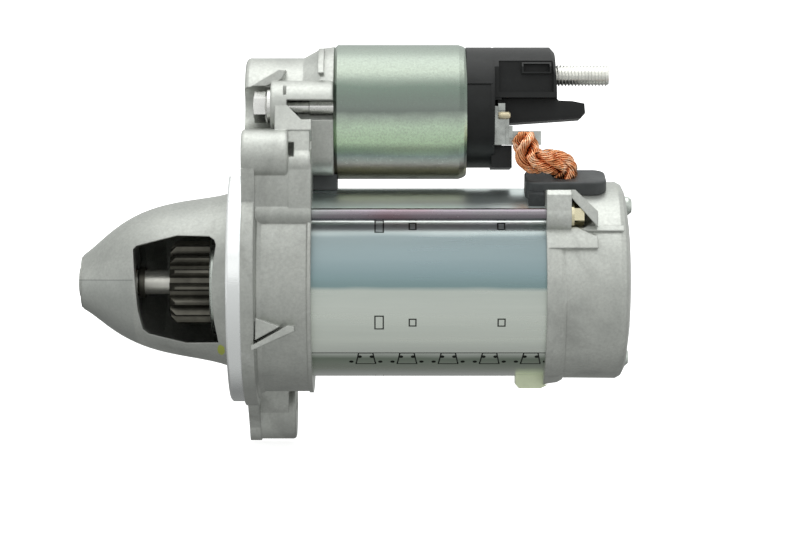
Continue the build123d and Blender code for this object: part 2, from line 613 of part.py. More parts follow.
def solenoid_core():
    core = turned([(69.0, 0), (69.0, 8.5), (73.2, 8.5), (73.2, 22.9), (77.1, 22.9), (77.1, 0)],
                  0, SOL_Z)
    return core - rod(2.4, 60, 80, 0, SOL_Z)


def plunger():
    # iron plunger, neck and slotted hook, with the contact shaft pressed into its rear
    body = rod(8.5, 27.0, 62.0, 0, SOL_Z) + rod(5.0, 17.0, 27.0, 0, SOL_Z)
    body += block(5.6, 18.0, -5.0, 5.0, SOL_Z - 2.6, SOL_Z + 5.2)
    body -= block(EYE_X - 2.8, EYE_X + 2.8, -2.6, 2.6, SOL_Z - 6, SOL_Z + 3.3)
    return body - rod(5.3, 48.0, 63.0, 0, SOL_Z)


def contact_rod():
    shaft = rod(2.0, 48.0, 88.2, 0, SOL_Z) + rod(4.2, 80.6, 81.8, 0, SOL_Z)
    return shaft + rod(3.4, 86.4, 87.4, 0, SOL_Z)


def moving_contact():
    plate = rod(13.5, 84.0, 86.0, 0, SOL_Z) & block(84, 87, -7.5, 7.5, 40, 80)
    return plate - rod(2.05, 80, 90, 0, SOL_Z)


def return_spring():
    return Pos(48.1, 0, SOL_Z) * Rot(0, 90, 0) * coil_spring(4.2, 0.5, 20.8, 8)


def contact_spring():
    return Pos(81.9, 0, SOL_Z) * Rot(0, 90, 0) * coil_spring(3.2, 0.3, 2.0, 2.5)


def solenoid_cap():
    body = rod(22.6, 77.2, SOL_X1, 0, SOL_Z) + rod(22.4, SOL_X1, 92.0, 0, CAP_Z)
    # thicker crown of the base, and the bead around its rear edge
    body += rod(23.2, SOL_X1, 91.2, 0, 64.3) & block(80, 92, -30, 30, 72.6, 90)
    body += rod(22.9, 90.6, 91.6, 0, 64.6) & block(90, 93, -30, 0, 63.0, 81.6)
    # stud tower: arched roof over flat sides
    tower = turned([(92.0, 0), (92.0, 22.5), (112.8, 22.5), (114.6, 20.5), (115.2, 14.0),
                    (115.2, 0)], 0, CAP_Z)
    body += tower & block(91, 116, -17.5, 17.5, 67.8, 88)
    body -= block(93.6, 113.6, -18.0, -14.6, 69.8, 81.4) - block(102.0, 112.8, -18, -14, 76.6, 80.8)
    body -= block(102.6, 112.2, -18.0, -13.4, 77.2, 80.2)
    # shroud of the signal connector with a lip below, and the lower terminal block
    shroud = slab_y([(91.0, 69.0), (115.0, 68.6), (116.0, 67.3), (121.0, 67.1), (125.6, 66.2),
                     (125.9, 62.6), (124.2, 60.6), (98.0, 58.8), (91.0, 58.8)], -7.5, 7.5)
    shroud += slab_y([(98.0, 58.8), (124.2, 60.6), (124.4, 61.4), (98.0, 59.8)], -8.3, 8.3)
    body += shroud + block(91.0, 98.5, -13.0, 10.0, 42.2, 50.4)
    body += block(91.0, 94.6, -17.0, 16.0, 50.0, 69.5)
    # switch chamber, terminal passages and connector socket
    hollow = rod(19.0, 76.0, 90.6, 0, SOL_Z) + rod(15.0, 90.0, 93.3, 0, SOL_Z)
    hollow += block(92.0, 95.6, -6.0, 6.0, 67.4, 81.5) + rod(3.5, 90.0, 116.0, 0, STUD_Z)
    hollow += rod(3.8, 92.0, 95.6, 0, SOL_Z)
    body -= hollow
    body -= block(106.0, 127.0, -5.6, 5.6, 61.9, 65.2)
    body -= block(92.0, 94.8, -15.6, 7.0, 50.6, 59.0)
    body -= block(91.4, 110.0, -17.1, -13.9, 50.4, 67.0)
    body -= block(96.0, 110.0, -3.2, 3.2, 63.0, 63.8)
    return body


def battery_stud():
    # copper contact bar carried by the stud, with a plain shank and a chamfered end
    bar = block(92.9, 95.6, -6.0, 6.0, 67.4, 81.5)
    stud = turned([(95.0, 0), (95.0, 3.5), (115.2, 3.5), (115.2, STUD_R), (134.4, STUD_R),
                   (135.2, 3.3), (135.2, 0)], 0, STUD_Z)
    return bar + stud


def motor_terminal():
    # bar inside the switch, outer plate with folded edges, and the tail the lead is welded to
    bar = block(92.9, 94.8, -14.0, 7.0, 50.6, 59.0)
    plate = block(91.6, 97.4, -15.2, -14.0, 50.5, 60.4) + block(91.6, 95.9, -15.2, -14.0, 60, 64.7)
    plate += block(91.6, 92.8, -16.6, -14.0, 50.5, 64.7) + block(96.2, 97.4, -16.2, -14.0, 50.5, 57.4)
    plate += block(93.4, 95.9, -16.4, -14.0, 63.1, 65.7)
    plate += block(97.2, 98.7, -16.6, -14.0, 53.0, 57.4) + block(97.2, 109.2, -15.2, -14.0, 50.5, 55.6)
    return bar + plate


def terminal_rivet():
    return turned([(93.4, 0), (93.4, 1.15), (94.2, 1.3), (97.2, 1.3), (97.8, 0.8), (97.8, 0)],
                  -16.52, 61.3)


def signal_blade():
    return block(96.0, 122.0, -3.15, 3.15, 63.0, 63.8)


def solenoid_bolts():
    bolts = []
    for side in (1, -1):
        y, z = LUG[0] * side, LUG[1]
        bolts.append(turned([(3.9, 0), (3.9, 4.4), (4.5, 4.9), (8.0, 4.9), (9.0, 6.5), (10.2, 6.5),
                             (10.2, 2.6), (24.0, 2.6), (24.3, 3.0), (36.5, 3.0), (36.5, 0)], y, z)
                     + hexagon(10.0, 4.2, 8.4, y, z))
    return group(bolts)


# ---- braided lead from the motor terminal into the grommet --------------------------------------
def braided_lead():
    y, z = polar(46.0, GROMMET_AT)
    y_in, z_in = polar(33.0, GROMMET_AT)
    line = FilletPolyline((103.4, -19.7, 55.0), (103.4, -19.7, 45.4), (LEAD_X, y, z),
                          (LEAD_X, y_in, z_in), radius=5.0)
    section = Plane(origin=line @ 0, z_dir=line % 0) * Circle(LEAD_R)
    return sweep(section, path=line) - block(95.0, 110.0, -15.2, -10.0, 45.0, 65.0)


# ---- write every node -----------------------------------------------------------------------
NODES = {
    "drive_housing": drive_housing, "nose_bush": nose_bush, "bearing_bracket": bearing_bracket,
    "carrier_bush": carrier_bush, "ring_gear": ring_gear, "centre_plate": centre_plate,
    "planet_pins": planet_pins, "output_shaft": output_shaft, "stop_collar": stop_collar,
    "bearing_balls": bearing_balls, "armature_shaft": armature_shaft,
    "armature_core": armature_core, "armature_winding": armature_winding,
    "commutator": commutator, "yoke": yoke, "field_magnets": field_magnets,
    "rear_cover": rear_cover, "through_bolts": through_bolts,
    "rear_cover_screws": rear_cover_screws, "brush_holder": brush_holder,
    "lead_grommet": lead_grommet, "braided_lead": braided_lead, "drain_boot": drain_boot,
    "lever_pivot": lever_pivot, "drive_lever": drive_lever, "lever_seal": lever_seal,
    "clutch_outer": clutch_outer, "clutch_rollers": clutch_rollers,
    "clutch_cover": clutch_cover, "pinion": pinion, "solenoid_case": solenoid_case,
    "plunger_sleeve": plunger_sleeve, "solenoid_bobbin": solenoid_bobbin,
    "solenoid_coil": solenoid_coil, "solenoid_core": solenoid_core, "plunger": plunger,
    "contact_rod": contact_rod, "moving_contact": moving_contact,
    "return_spring": return_spring, "contact_spring": contact_spring,
    "solenoid_cap": solenoid_cap, "battery_stud": battery_stud,
    "motor_terminal": motor_terminal, "terminal_rivet": terminal_rivet,
    "signal_blade": signal_blade, "solenoid_bolts": solenoid_bolts,
}
for name, make in NODES.items():
    save(make(), name)
save(group([bearing_ring(BEAR_F, True), bearing_ring(BEAR_R, True)]), "bearing_outer_rings")
save(group([bearing_ring(BEAR_F, False), bearing_ring(BEAR_R, False)]), "bearing_inner_rings")
for i in range(3):
    save(planet_gear(i), f"planet_gear_{i + 1}")
for i, angle in enumerate(BRUSH_ANGLES):
    save(brush(angle), f"brush_{i + 1}")
    save(brush_spring(angle), f"brush_spring_{i + 1}")
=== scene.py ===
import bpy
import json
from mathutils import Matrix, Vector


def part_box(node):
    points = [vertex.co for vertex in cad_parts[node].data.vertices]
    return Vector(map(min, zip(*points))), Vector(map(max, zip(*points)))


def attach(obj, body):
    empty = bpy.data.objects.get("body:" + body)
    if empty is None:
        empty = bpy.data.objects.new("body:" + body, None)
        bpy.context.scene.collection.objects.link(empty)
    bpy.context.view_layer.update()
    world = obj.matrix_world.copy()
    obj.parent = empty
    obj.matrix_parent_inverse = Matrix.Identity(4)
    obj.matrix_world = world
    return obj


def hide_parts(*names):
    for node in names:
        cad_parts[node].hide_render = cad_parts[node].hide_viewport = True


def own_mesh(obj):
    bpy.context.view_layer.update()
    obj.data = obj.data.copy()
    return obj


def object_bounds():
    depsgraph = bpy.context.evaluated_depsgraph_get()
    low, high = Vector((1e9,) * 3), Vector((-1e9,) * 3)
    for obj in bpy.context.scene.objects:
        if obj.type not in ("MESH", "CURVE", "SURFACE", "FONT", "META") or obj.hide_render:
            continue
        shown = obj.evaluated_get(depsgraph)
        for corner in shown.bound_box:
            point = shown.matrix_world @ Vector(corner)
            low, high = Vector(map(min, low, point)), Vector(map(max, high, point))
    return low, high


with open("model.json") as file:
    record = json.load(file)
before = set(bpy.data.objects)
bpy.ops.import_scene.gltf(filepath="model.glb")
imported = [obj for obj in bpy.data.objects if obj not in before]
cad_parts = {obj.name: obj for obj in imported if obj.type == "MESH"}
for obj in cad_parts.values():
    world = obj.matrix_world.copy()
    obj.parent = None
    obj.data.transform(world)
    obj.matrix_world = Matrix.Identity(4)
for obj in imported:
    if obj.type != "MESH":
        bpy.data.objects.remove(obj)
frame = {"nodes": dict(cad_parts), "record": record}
cad_box = [list(map(float, corner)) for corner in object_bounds()]

import json
import math

import bpy
from mathutils import Vector

MM = 0.001
PART_MIDDLE = (0.04, 0, 0.02)           # what the lights are aimed at
FLOOR_GAP = 0.0007                      # from the part's lowest point down to the floor
CAMERA_AT = (0.0573, -1.0, 0.0056)      # 1 m in front of the shaft; it looks level along +Y
CAMERA_LENS, SENSOR_WIDTH = 120.6, 36.0


def add(name, data):
    """A new object in the scene."""
    ob = bpy.data.objects.new(name, data)
    bpy.context.scene.collection.objects.link(ob)
    return ob


# ---- materials --------------------------------------------------------------------------
class Shader:
    """A material under construction: short calls that add nodes and link them."""

    def __init__(self, name):
        self.mat = bpy.data.materials.new(name)
        self.mat.use_nodes = True
        self.tree = self.mat.node_tree
        self.tree.nodes.clear()
        out = self.node("ShaderNodeOutputMaterial")
        self.bsdf = self.node("ShaderNodeBsdfPrincipled")
        self.link(self.bsdf.outputs[0], out.inputs[0])
        self.where = self.node("ShaderNodeTexCoord").outputs["Object"]

    def node(self, kind):
        return self.tree.nodes.new(kind)

    def link(self, a, b):
        self.tree.links.new(a, b)

    def put(self, socket, value):
        """Links an output, or sets a constant."""
        if isinstance(value, bpy.types.NodeSocket):
            self.link(value, socket)
        elif isinstance(value, tuple) and socket.type == "RGBA":
            socket.default_value = (*value, 1.0)
        else:
            socket.default_value = value

    def set(self, **values):
        for key, value in values.items():
            self.put(self.bsdf.inputs[key.replace("_", " ")], value)

    def math(self, op, a, b=0.0):
        n = self.node("ShaderNodeMath")
        n.operation = op
        self.put(n.inputs[0], a)
        self.put(n.inputs[1], b)
        return n.outputs[0]

    def plus(self, a, b):
        return self.math("ADD", a, b)

    def minus(self, a, b):
        return self.math("SUBTRACT", a, b)

    def times(self, a, b):
        return self.math("MULTIPLY", a, b)

    def radius(self, y, z):
        """Distance from the shaft's axis."""
        return self.math("SQRT", self.plus(self.times(y, y), self.times(z, z)))

    def mix(self, fac, a, b, kind="MIX"):
        n = self.node("ShaderNodeMix")
        n.data_type, n.blend_type = "RGBA", kind
        self.put(n.inputs[0], fac)
        self.put(n.inputs[6], a)
        self.put(n.inputs[7], b)
        return n.outputs[2]

    def noise(self, scale, detail, rough, stretch=(1, 1, 1), distort=0.0):
        m = self.node("ShaderNodeMapping")
        self.link(self.where, m.inputs[0])
        m.inputs["Scale"].default_value = stretch
        n = self.node("ShaderNodeTexNoise")
        self.link(m.outputs[0], n.inputs["Vector"])
        n.inputs["Scale"].default_value = scale
        n.inputs["Detail"].default_value = detail
        n.inputs["Roughness"].default_value = rough
        n.inputs["Distortion"].default_value = distort
        return n.outputs[0]

    def ramp(self, fac, stops, smooth=True):
        """Colours by place: a stop is a place and a colour, or a place and a grey."""
        n = self.node("ShaderNodeValToRGB")
        self.put(n.inputs[0], fac)
        n.color_ramp.interpolation = "EASE" if smooth else "LINEAR"
        while len(n.color_ramp.elements) < len(stops):
            n.color_ramp.elements.new(0.5)
        for e, (pos, col) in zip(n.color_ramp.elements, stops):
            e.position = pos
            e.color = (*col, 1.0) if isinstance(col, tuple) else (col, col, col, 1.0)
        return n.outputs[0]

    def span(self, value, low, high, to_low=0.0, to_high=1.0):
        """The value moved from one range to another, and held at its ends."""
        n = self.node("ShaderNodeMapRange")
        n.clamp = True
        for s, v in zip(n.inputs, (value, low, high, to_low, to_high)):
            self.put(s, v)
        return n.outputs[0]

    def xyz(self):
        n = self.node("ShaderNodeSeparateXYZ")
        self.link(self.where, n.inputs[0])
        return n.outputs[0], n.outputs[1], n.outputs[2]

    def climb(self, axis_z, cloud, wander):
        """Place up the near side of a tube along X: its bottom is 0, its top 1."""
        _, y, z = self.xyz()
        angle = self.math("ARCTAN2", self.minus(z, axis_z), self.times(y, -1.0))
        turn = self.math("DIVIDE", angle, 2 * math.pi)
        lift = self.plus(turn, self.times(self.minus(cloud, 0.5), wander))
        return self.plus(self.times(lift, 2.0), 0.5)

    def bump(self, height, strength, distance, onto=None):
        n = self.node("ShaderNodeBump")
        n.inputs["Strength"].default_value = strength
        n.inputs["Distance"].default_value = distance
        self.put(n.inputs["Height"], height)
        if onto is not None:
            self.link(onto, n.inputs["Normal"])
        self.link(n.outputs[0], self.bsdf.inputs["Normal"])


def cast_aluminium(name, shade):
    """Die-cast aluminium: satin grey, fine grain, soft stains, and edges the die leaves rounded."""
    s = Shader(name)
    blotch = s.noise(55, 4, 0.6)
    stain = s.noise(38, 5, 0.65, (1.0, 1.0, 0.7), 0.6)
    grain = s.noise(900, 3, 0.7)
    pits = s.noise(2600, 2, 0.5)
    greys = [(0.3, (0.42, 0.435, 0.41)), (0.55, (0.49, 0.505, 0.475)), (0.75, (0.56, 0.575, 0.55))]
    col = s.ramp(blotch, [(at, tuple(shade * c for c in grey)) for at, grey in greys])
    col = s.mix(s.span(grain, 0.35, 0.7, 0.0, 0.35), col, (0.34, 0.345, 0.33))
    col = s.mix(s.span(stain, 0.54, 0.68, 0.0, 0.4), col, (0.27, 0.275, 0.26))
    rough = s.plus(s.span(blotch, 0.3, 0.7, 0.38, 0.5), s.span(grain, 0.3, 0.7, -0.04, 0.06))
    s.set(Base_Color=col, Metallic=0.85, Roughness=rough)
    edge = s.node("ShaderNodeBevel")
    edge.samples = 4
    edge.inputs["Radius"].default_value = 0.7 * MM
    relief = s.plus(s.times(grain, 0.6), s.times(pits, 0.4))
    s.bump(relief, 0.5, 0.12 * MM, edge.outputs[0])
    return s


def housing_casting():
    """The drive housing's casting: paint dab, parting line, bright register and flange face."""
    s = cast_aluminium("cast aluminium", 1.14)
    x, y, z = s.xyz()
    base = s.bsdf.inputs["Base Color"].links[0].from_socket
    rough = s.bsdf.inputs["Roughness"].links[0].from_socket
    # painted shade by height: the skin is darker around the shaft's height than on the bosses above
    painted_shade_by_height = s.ramp(s.span(z, -0.05, 0.09), [(0.34, 0.88), (0.43, 0.75), (0.56, 0.80), (0.66, 1.0)])
    base = s.mix(1.0, base, painted_shade_by_height, "MULTIPLY")
    # a dab of inspection paint under the window
    paint_x, paint_z, flatness = -0.0082, -0.0248, 0.55
    along, up = s.minus(x, paint_x), s.minus(z, paint_z)
    up_squared = s.times(s.times(up, up), flatness)
    reach = s.math("SQRT", s.plus(s.times(along, along), up_squared))
    ragged = s.plus(reach, s.times(s.noise(700, 2, 0.5), 0.0009))
    painted = s.times(s.span(ragged, 0.0017, 0.0020, 1, 0), s.span(y, -0.005, -0.004, 1, 0))
    base = s.mix(painted, base, (0.50, 0.55, 0.12))
    # parting line of the die along the nose; the half below it is darkened a shade as painted shade
    parting_z, nose_end = 0.0008, -0.0398
    above = s.minus(z, parting_z)
    on_nose = s.times(s.span(x, nose_end - 0.0006, nose_end, 1, 0), s.span(y, -0.002, 0.0, 1, 0))
    painted_shade_below_parting = s.times(on_nose, s.span(above, -0.0001, 0.0001, 0.3, 0.0))
    base = s.mix(painted_shade_below_parting, base, (0.30, 0.32, 0.31))
    line = s.times(on_nose, s.span(s.math("ABSOLUTE", above), 0.00015, 0.0003, 0.6, 0.0))
    base = s.mix(line, base, (0.20, 0.21, 0.20))
    # the register and the flange's face around it are machined bright
    machined = s.times(s.span(x, 0.0001, 0.0003, 1, 0), s.span(s.radius(y, z), 0.0412, 0.0420))
    s.set(Base_Color=s.mix(machined, base, (0.90, 0.92, 0.92)),
          Metallic=s.span(machined, 0, 1, 0.85, 1.0),
          Roughness=s.mix(machined, rough, (0.2, 0.2, 0.2)))
    return s


def plain(name, colour, metallic, roughness, grain, depth, spread=0.12):
    """A surface with mottled colour and roughness and a fine relief."""
    s = Shader(name)
    mottled = s.noise(grain / 8, 4, 0.6)
    fine = s.noise(grain, 3, 0.6)
    light = tuple(min(1.0, c * (1 + spread)) for c in colour)
    dark = tuple(c * (1 - spread) for c in colour)
    s.set(Base_Color=s.ramp(mottled, [(0.3, dark), (0.7, light)]), Metallic=metallic,
          Roughness=s.span(fine, 0.3, 0.7, roughness - 0.06, roughness + 0.06))
    s.bump(fine, 0.4, depth)
    return s


def plated_yoke():
    """Zinc-plated tube, painted by angle with reflection and shade: bluish along the flank, green-grey
    above and below, painted shade in the grooves.
    """
    s = Shader("yoke plating")
    streak = s.noise(180, 4, 0.6, (0.06, 1, 1))
    cloud = s.noise(70, 3, 0.6, (0.3, 1, 1))
    # the colour is painted by the angle around the axis: painted highlights at the bottom edge and over
    # the top, painted shade in the dark band low down and the dark bluish band above the middle
    painted_bands_by_angle = [(0.08, (0.95, 0.98, 0.94)), (0.14, (0.55, 0.60, 0.52)), (0.205, (0.24, 0.29, 0.23)),
            (0.236, (0.66, 0.70, 0.65)), (0.30, (0.78, 0.83, 0.76)), (0.42, (0.74, 0.79, 0.73)),
            (0.474, (0.62, 0.67, 0.62)), (0.488, (0.25, 0.36, 0.37)), (0.53, (0.24, 0.33, 0.35)),
            (0.58, (0.28, 0.36, 0.38)), (0.655, (0.22, 0.27, 0.28)), (0.685, (0.50, 0.56, 0.55)),
            (0.72, (0.92, 0.97, 0.95)), (0.84, (0.90, 1.0, 0.99)), (0.97, (0.90, 1.0, 0.99))]
    col = s.ramp(s.climb(0.0, cloud, 0.012), painted_bands_by_angle, smooth=False)
    col = s.mix(s.span(streak, 0.35, 0.7, 0.0, 0.12), col, (0.30, 0.34, 0.33))
    _, y, z = s.xyz()
    col = s.mix(s.span(y, 0.0, 0.006), col, (0.58, 0.63, 0.59))      # the far side gets one even plating colour, without the painted bands
    lo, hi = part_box("yoke")
    skin = (hi[2] - lo[2]) / 2
    # painted shade: whatever lies below the tube's skin, in the grooves, is darkened
    painted_groove_shade = s.span(s.radius(y, z), skin - 0.3 * MM, skin - 0.1 * MM, 1, 0)
    col = s.mix(painted_groove_shade, col, (0.055, 0.06, 0.055))
    s.set(Base_Color=col, Metallic=0.95, Roughness=s.span(streak, 0.3, 0.7, 0.24, 0.36))
    s.bump(s.noise(1500, 2, 0.5, (0.05, 1, 1)), 0.25, 0.00003)
    return s


def plated_can():
    """Zinc-plated solenoid can: a pale green band of painted reflection on darker plating, painted by
    angle.
    """
    s = Shader("can plating")
    cloud = s.noise(120, 4, 0.6, (0.5, 1, 1))
    grain = s.noise(1400, 3, 0.6)
    lo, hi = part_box("solenoid_case")
    # the colour is painted by the angle around the can's axis: a pale green painted reflection band,
    # painted shade at the bottom and below the band
    painted_bands_by_angle = [(0.05, (0.10, 0.10, 0.08)), (0.13, (0.50, 0.46, 0.31)), (0.20, (0.38, 0.34, 0.32)),
            (0.26, (0.26, 0.31, 0.29)), (0.295, (0.46, 0.62, 0.45)), (0.335, (0.70, 0.92, 0.64)),
            (0.41, (0.70, 0.88, 0.67)), (0.455, (0.46, 0.54, 0.46)), (0.485, (0.21, 0.245, 0.22)),
            (0.60, (0.18, 0.235, 0.195)), (0.645, (0.29, 0.34, 0.29)), (0.68, (0.34, 0.39, 0.33)),
            (0.78, (0.34, 0.39, 0.34)), (0.97, (0.35, 0.42, 0.37))]
    col = s.ramp(s.climb((lo[2] + hi[2]) / 2, cloud, 0.02), painted_bands_by_angle, smooth=False)
    _, y, _ = s.xyz()
    col = s.mix(s.span(y, 0.0, 0.006), col, (0.34, 0.40, 0.34))      # the far side gets one even plating colour, without the painted bands
    col = s.mix(s.span(grain, 0.4, 0.7, 0.0, 0.3), col, (0.20, 0.20, 0.19))
    s.set(Base_Color=col, Metallic=0.92, Roughness=s.span(grain, 0.3, 0.7, 0.26, 0.4))
    s.bump(grain, 0.35, 0.00005)
    return s


def passivated_bolts():
    """Iridescent passivate coat on the through bolts' shanks; their heads are straw-coloured."""
    s = Shader("bolt passivate")
    drift = s.noise(60, 3, 0.5, (0.25, 1, 1))
    fine = s.noise(1300, 2, 0.5, (0.1, 1, 1))
    shank = s.ramp(drift, [(0.3, (0.23, 0.14, 0.16)), (0.5, (0.25, 0.22, 0.25)),
                           (0.7, (0.23, 0.27, 0.25))])
    head_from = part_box("through_bolts")[1][0] - 4.7 * MM
    x, _, _ = s.xyz()
    on_head = s.span(x, head_from - 0.1 * MM, head_from + 0.1 * MM)
    s.set(Base_Color=s.mix(on_head, shank, (0.80, 0.74, 0.52)), Metallic=1.0,
          Roughness=s.span(fine, 0.3, 0.7, 0.18, 0.3))
    s.bump(fine, 0.3, 0.00003)
    return s


def bare_copper():
    """Bare copper wires: bright orange, with darker and paler patches of painted shade and painted
    highlight.
    """
    s = Shader("bare copper strands")
    painted_shade_and_highlight = s.noise(260, 3, 0.6, (1, 1, 1), 0.5)
    fine = s.noise(1800, 2, 0.5)
    # painted shade at the dark stop and painted highlight at the palest, scattered in patches by noise
    col = s.ramp(painted_shade_and_highlight, [(0.32, (0.48, 0.15, 0.05)), (0.5, (0.88, 0.41, 0.20)),
                         (0.64, (1.0, 0.68, 0.48))])
    s.set(Base_Color=col, Metallic=1.0, Roughness=s.span(fine, 0.3, 0.7, 0.2, 0.34))
    s.bump(fine, 0.3, 0.00003)
    return s


# the cover's casting is the same aluminium as the housing's, lifted lighter as painted light
cover_casting_painted_lighter = cast_aluminium("cover casting", 1.18)
casting = housing_casting()
bright = plain("bright steel", (0.70, 0.70, 0.68), 1.0, 0.24, 1500, 0.00002, 0.08)
shaft_steel = plain("ground shaft steel", (0.82, 0.81, 0.75), 0.75, 0.36, 1500, 0.00002, 0.08)
dark = plain("dark hardened steel", (0.13, 0.125, 0.105), 0.85, 0.42, 900, 0.00005, 0.3)
plated = plain("zinc plate", (0.56, 0.60, 0.56), 0.95, 0.3, 900, 0.00003)
stud_steel = plain("bright plated stud", (0.90, 0.90, 0.86), 1.0, 0.22, 1500, 0.00002, 0.06)
tinned = plain("tinned terminal", (0.42, 0.44, 0.42), 0.95, 0.28, 1100, 0.00004, 0.3)
bronze = plain("sintered bronze", (0.38, 0.25, 0.12), 0.9, 0.45, 1500, 0.00005, 0.2)
copper = plain("copper", (0.78, 0.40, 0.22), 1.0, 0.3, 900, 0.00003, 0.2)
varnish = plain("varnished copper winding", (0.42, 0.16, 0.06), 0.5, 0.3, 700, 0.00006, 0.25)
ferrite = plain("ferrite", (0.05, 0.05, 0.052), 0.1, 0.6, 600, 0.00006, 0.2)
carbon = plain("brush carbon", (0.035, 0.032, 0.03), 0.3, 0.55, 1200, 0.00005, 0.25)
rubber = plain("black rubber", (0.056, 0.061, 0.063), 0.0, 0.5, 800, 0.00005, 0.25)
black = plain("black moulding", (0.010, 0.011, 0.011), 0.0, 0.42, 1600, 0.00003, 0.2)
black.set(Specular_IOR_Level=0.3)
nylon = plain("glass-filled nylon", (0.45, 0.42, 0.34), 0.0, 0.45, 900, 0.00004, 0.1)
cream = plain("soft solder", (0.72, 0.64, 0.44), 0.5, 0.35, 900, 0.00003, 0.1)
pale = plain("pale drain moulding", (0.62, 0.68, 0.48), 0.0, 0.4, 700, 0.00004, 0.1)
yoke_plate_painted_bands = plated_yoke()
can_plate_painted_bands = plated_can()
bolt_film = passivated_bolts()
strands = bare_copper()

# bright steel is the look of every node that isn't listed
LOOKS = {
    "drive_housing": casting, "rear_cover": cover_casting_painted_lighter, "nose_bush": bronze, "carrier_bush": bronze,
    "yoke": yoke_plate_painted_bands, "solenoid_case": can_plate_painted_bands, "solenoid_cap": black, "lead_grommet": rubber,
    "lever_seal": rubber, "drain_boot": pale, "pinion": dark, "stop_collar": dark, "ring_gear": dark,
    "clutch_outer": dark, "armature_core": dark, "through_bolts": bolt_film,
    "rear_cover_screws": plated, "bearing_bracket": plated, "centre_plate": plated,
    "brush_holder": plated, "clutch_cover": plated, "field_magnets": ferrite,
    "armature_winding": varnish, "solenoid_coil": varnish, "commutator": copper,
    "braided_lead": copper, "moving_contact": copper, "motor_terminal": tinned,
    "terminal_rivet": cream, "output_shaft": shaft_steel,
    "plunger_sleeve": bronze, "solenoid_bobbin": nylon, "drive_lever": nylon,
}
LOOKS.update({f"planet_gear_{number}": dark for number in range(1, 4)})
LOOKS.update({f"brush_{number}": carbon for number in range(1, 5)})
for name, ob in frame["nodes"].items():
    ob.data.materials.clear()
    ob.data.materials.append(LOOKS.get(name, bright).mat)


# ---- pieces drawn finer than their solids, and springs copied from theirs ---------------
def piece(name, verts, faces, look, node):
    """A mesh in millimetres that rides the housing and stands in for a node."""
    mesh = bpy.data.meshes.new(name)
    mesh.from_pydata([tuple(c * MM for c in v) for v in verts], [], faces)
    mesh.update()
    for p in mesh.polygons:
        p.use_smooth = True
    mesh.materials.append(look.mat)
    ob = add(name, mesh)
    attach(ob, "housing")
    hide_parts(node)


def rings_to_faces(rows, around, first=0):
    """Quads between consecutive rings of points, with an end cap on each side."""
    faces = []
    for r in range(rows - 1):
        for k in range(around):
            a, b = first + r * around + k, first + r * around + (k + 1) % around
            faces.append((a, b, b + around, a + around))
    faces.append(tuple(first + k for k in reversed(range(around))))
    faces.append(tuple(first + (rows - 1) * around + k for k in range(around)))
    return faces


def box_into(verts, faces, lo, hi):
    """Adds a box between two corners to a mesh's points and faces."""
    n = len(verts)
    verts += [(x, y, z) for x in (lo[0], hi[0]) for y in (lo[1], hi[1]) for z in (lo[2], hi[2])]
    faces += [tuple(n + i for i in q) for q in
              ((0, 1, 3, 2), (4, 6, 7, 5), (0, 4, 5, 1), (2, 3, 7, 6), (0, 2, 6, 4), (1, 5, 7, 3))]


def threaded_stud():
    """M8 battery stud with its rolled thread, on the copper contact bar inside the cap."""
    mount = next(m for m in frame["record"]["mounts"] if m["name"] == "battery_stud")
    axis_z = mount["pos_m"][2] / MM
    pitch, crest_r, root_r, shank_r = 1.25, 3.99, 3.36, 3.49
    shank_from, shank_to, thread_from, chamfer_from, tip = 95.4, 115.15, 115.2, 134.3, 135.2
    rows_per_turn, sides = 10, 56

    def thread_r(x, turn):
        """Radius of the thread at a place along and around it."""
        phase = (x / pitch - turn) % 1.0
        tooth = max(0.0, min(1.0, 1.25 - abs(phase - 0.5) * 3.0))
        run_in = root_r + 0.2 + (x - thread_from) * 0.8
        chamfer = crest_r - max(0.0, x - chamfer_from) * 0.85
        return min(root_r + (crest_r - root_r) * tooth, chamfer, run_in)

    step = pitch / rows_per_turn
    places = [thread_from + step * k for k in range(round((tip - thread_from) / step))]
    verts = []
    for x in [shank_from, shank_to] + places:
        for k in range(sides):
            r = thread_r(x, k / sides) if x >= thread_from else shank_r
            a = 2 * math.pi * k / sides
            verts.append((x, r * math.cos(a), axis_z + r * math.sin(a)))
    faces = rings_to_faces(len(verts) // sides, sides)
    box_into(verts, faces, (92.95, -5.95, 67.45), (shank_from, 5.95, 81.4))
    piece("threaded_stud", verts, faces, stud_steel, "battery_stud")


def smooth_path(points, count):
    """Evenly spaced points on a NURBS line through the route's control points."""
    curve = bpy.data.curves.new("route", "CURVE")
    curve.dimensions = "3D"
    spline = curve.splines.new("NURBS")
    spline.points.add(len(points) - 1)
    for p, c in zip(spline.points, points):
        p.co = (*c, 1.0)
    spline.use_endpoint_u, spline.order_u = True, 3
    spline.resolution_u = 40
    ob = bpy.data.objects.new("route", curve)
    mesh = bpy.data.meshes.new_from_object(ob)
    line = [v.co.copy() for v in mesh.vertices]
    bpy.data.meshes.remove(mesh)
    bpy.data.objects.remove(ob)
    bpy.data.curves.remove(curve)
    total = path_length(line)
    out, walked, i = [line[0]], 0.0, 0
    for k in range(1, count):
        goal = total * k / (count - 1)
        while i < len(line) - 2 and walked + (line[i + 1] - line[i]).length < goal:
            walked += (line[i + 1] - line[i]).length
            i += 1
        seg = line[i + 1] - line[i]
        out.append(line[i] + seg * min(1.0, (goal - walked) / max(seg.length, 1e-9)))
    return out


def path_length(line):
    return sum((b - a).length for a, b in zip(line, line[1:]))


def frames_along(line):
    """Two steady normals at each point of a line."""
    tangents = [(line[min(i + 1, len(line) - 1)] - line[max(i - 1, 0)]).normalized()
                for i in range(len(line))]
    u = tangents[0].orthogonal().normalized()
    frames = []
    for t in tangents:
        u = (u - t * u.dot(t)).normalized()
        frames.append((u, t.cross(u)))
    return frames


